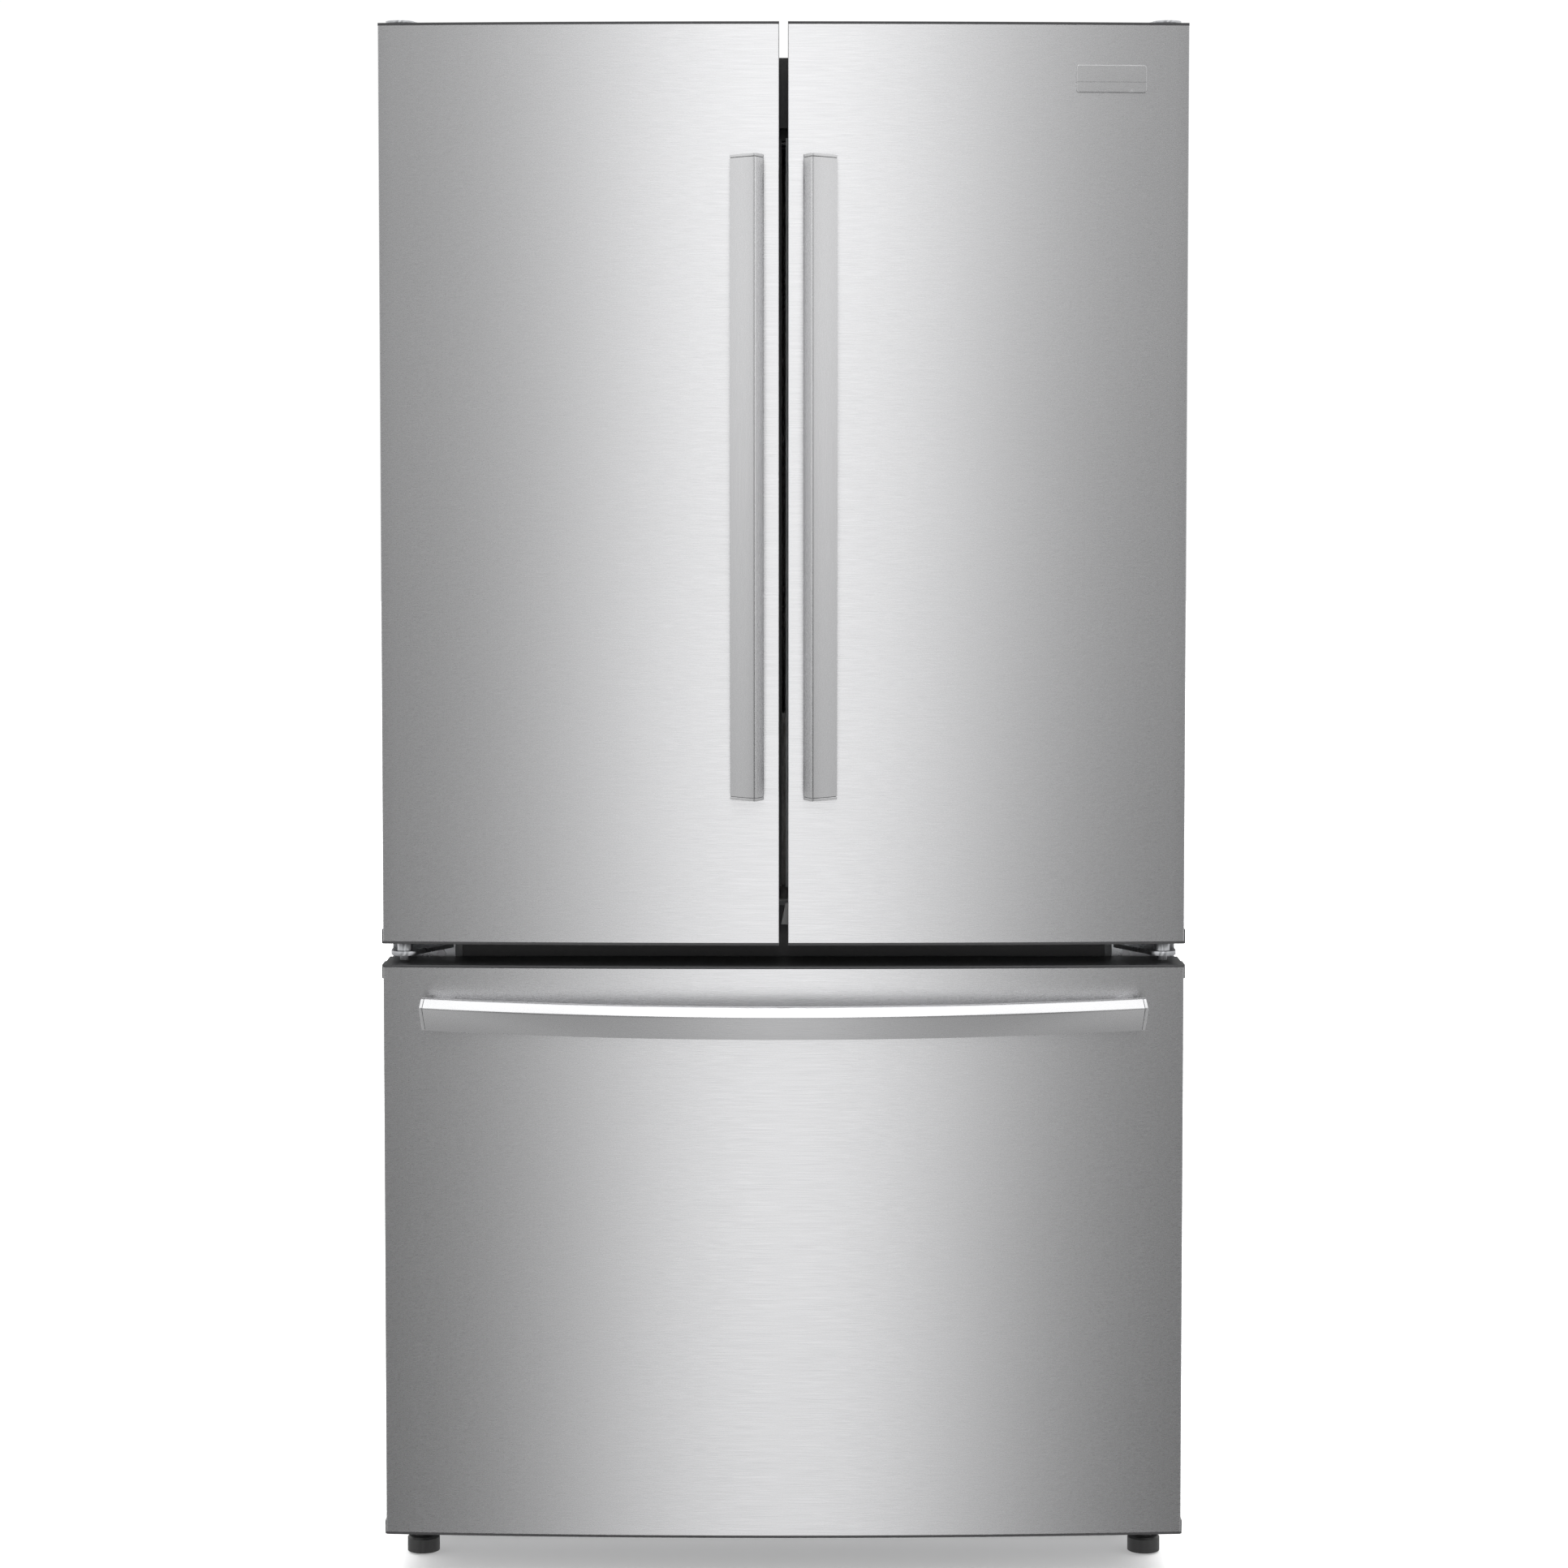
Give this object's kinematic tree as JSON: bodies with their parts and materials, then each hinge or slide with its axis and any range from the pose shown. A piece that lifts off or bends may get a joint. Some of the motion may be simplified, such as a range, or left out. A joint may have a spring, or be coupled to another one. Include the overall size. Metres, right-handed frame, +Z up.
{
  "type": "french door refrigerator",
  "caption": "Tall refrigerator with a pair of bowed stainless doors, vertical bar handles and a bottom freezer drawer with a horizontal bar handle.",
  "frame": {"origin": "on the floor, at the middle of the whole outline in plan", "axes": "+Z up, the doors and drawer face -Y, +X to the right of a person facing the doors"},
  "size_m": [0.915, 0.784, 1.778],
  "materials": {
    "stainless_face": "satin",
    "stainless_handle": "satin",
    "dark_plastic": "satin",
    "white_plastic": "satin",
    "clear_plastic": "gloss",
    "shelf_glass": "gloss",
    "case_paint": "satin",
    "galvanised": "matte",
    "insulation": "matte",
    "gasket_rubber": "matte",
    "zinc_plate": "satin",
    "bolt_steel": "satin",
    "fin_aluminium": "satin",
    "condenser_paint": "matte",
    "fan_plastic": "satin",
    "lamp_lens": "satin",
    "slider_plastic": "gloss",
    "plate_metal": "satin",
    "foot_plastic": "satin",
    "tyre_rubber": "matte",
    "compressor_shell": "satin"
  },
  "bodies": {
    "cabinet": {"outer_case": "case_paint", "back_panel": "galvanised", "cabinet_insulation": "insulation", "fresh_food_liner": "white_plastic", "freezer_liner": "white_plastic", "center_rail": "dark_plastic", "base_frame": "zinc_plate", "door_hinges": "zinc_plate", "hinge_bolts": "bolt_steel", "hinge_covers": "dark_plastic", "machine_cover": "galvanised", "compressor": "compressor_shell", "condenser": "condenser_paint", "condenser_fan_motor": "fan_plastic", "drain_pan": "dark_plastic", "evaporator": "fin_aluminium", "evaporator_cover": "white_plastic", "air_duct_cover": "white_plastic", "shelf_ladders": "white_plastic", "shelf_frames": "white_plastic", "shelf_glass": "shelf_glass", "crisper_frame": "white_plastic", "control_panel": "dark_plastic", "ceiling_lamp_lens": "lamp_lens", "drawer_slides_outer": "zinc_plate"},
    "left_door": {"left_door_skin": "stainless_face", "left_door_end_caps": "dark_plastic", "left_door_insulation": "insulation", "left_door_liner": "white_plastic", "left_door_gasket": "gasket_rubber", "left_door_handle": "stainless_handle", "left_door_bins": "clear_plastic"},
    "right_door": {"right_door_skin": "stainless_face", "right_door_end_caps": "dark_plastic", "right_door_insulation": "insulation", "right_door_liner": "white_plastic", "right_door_gasket": "gasket_rubber", "right_door_handle": "stainless_handle", "right_door_bins": "clear_plastic", "nameplate": "plate_metal"},
    "drawer": {"drawer_skin": "stainless_face", "drawer_end_caps": "dark_plastic", "drawer_insulation": "insulation", "drawer_liner": "white_plastic", "drawer_gasket": "gasket_rubber", "drawer_handle": "stainless_handle", "lower_basket": "white_plastic", "drawer_slides_inner": "zinc_plate"},
    "flipper_mullion": {"mullion": "dark_plastic"},
    "middle_slides": {"drawer_slides_middle": "zinc_plate"},
    "upper_freezer_basket": {"upper_basket": "white_plastic"},
    "left_crisper_drawer": {"left_crisper": "clear_plastic"},
    "right_crisper_drawer": {"right_crisper": "clear_plastic"},
    "left_humidity_control": {"left_humidity_slider": "slider_plastic"},
    "right_humidity_control": {"right_humidity_slider": "slider_plastic"},
    "left_levelling_foot": {"left_foot": "foot_plastic"},
    "right_levelling_foot": {"right_foot": "foot_plastic"},
    "roller_pair": {"rear_rollers": "tyre_rubber"},
    "evaporator_fan": {"evaporator_fan_blades": "fan_plastic"},
    "condenser_fan": {"condenser_fan_blades": "fan_plastic"}
  },
  "joints": [
    {"name": "left_door_hinge", "type": "hinge", "parent": "cabinet", "child": "left_door", "pos_m": [-0.433, -0.29, 0.734], "axis": [0, 0, -1], "range_deg": [0, 130]},
    {"name": "right_door_hinge", "type": "hinge", "parent": "cabinet", "child": "right_door", "pos_m": [0.433, -0.29, 0.734], "axis": [0, 0, 1], "range_deg": [0, 130]},
    {"name": "mullion_hinge", "type": "hinge", "parent": "left_door", "child": "flipper_mullion", "pos_m": [-0.04, -0.214, 0.79], "axis": [0, 0, 1], "range_deg": [0, 89]},
    {"name": "freezer_drawer_slide", "type": "slide", "parent": "cabinet", "child": "drawer", "axis": [0, -1, 0], "range_m": [0, 0.42]},
    {"name": "middle_slide", "type": "slide", "parent": "cabinet", "child": "middle_slides", "axis": [0, -1, 0], "range_m": [0, 0.215]},
    {"name": "upper_basket_slide", "type": "slide", "parent": "cabinet", "child": "upper_freezer_basket", "axis": [0, -1, 0], "range_m": [0, 0.361]},
    {"name": "left_crisper_slide", "type": "slide", "parent": "cabinet", "child": "left_crisper_drawer", "axis": [0, -1, 0], "range_m": [0, 0.271]},
    {"name": "right_crisper_slide", "type": "slide", "parent": "cabinet", "child": "right_crisper_drawer", "axis": [0, -1, 0], "range_m": [0, 0.271]},
    {"name": "left_humidity_slide", "type": "slide", "parent": "left_crisper_drawer", "child": "left_humidity_control", "axis": [1, 0, 0], "range_m": [-0.02, 0.02]},
    {"name": "right_humidity_slide", "type": "slide", "parent": "right_crisper_drawer", "child": "right_humidity_control", "axis": [1, 0, 0], "range_m": [-0.02, 0.02]},
    {"name": "left_foot_screw", "type": "hinge", "parent": "cabinet", "child": "left_levelling_foot", "pos_m": [-0.424, -0.204, 0], "axis": [0, 0, 1], "continuous": true},
    {"name": "right_foot_screw", "type": "hinge", "parent": "cabinet", "child": "right_levelling_foot", "pos_m": [0.424, -0.204, 0], "axis": [0, 0, 1], "continuous": true},
    {"name": "roller_axle", "type": "hinge", "parent": "cabinet", "child": "roller_pair", "pos_m": [0, 0.34, 0.022], "axis": [1, 0, 0], "continuous": true},
    {"name": "evaporator_fan_spin", "type": "hinge", "parent": "cabinet", "child": "evaporator_fan", "pos_m": [0, 0.317, 0.62], "axis": [0, 1, 0], "continuous": true},
    {"name": "condenser_fan_spin", "type": "hinge", "parent": "cabinet", "child": "condenser_fan", "pos_m": [0.02, 0.291, 0.19], "axis": [1, 0, 0], "continuous": true}
  ],
  "couplings": [
    {"joint": "mullion_hinge", "follows": "left_door_hinge", "ratio": 0.6769},
    {"joint": "left_crisper_slide", "follows": "left_door_hinge", "m_per_rad": 0.119},
    {"joint": "right_crisper_slide", "follows": "right_door_hinge", "m_per_rad": 0.119},
    {"joint": "middle_slide", "follows": "freezer_drawer_slide", "ratio": 0.5},
    {"joint": "upper_basket_slide", "follows": "freezer_drawer_slide", "ratio": 0.8571}
  ]
}
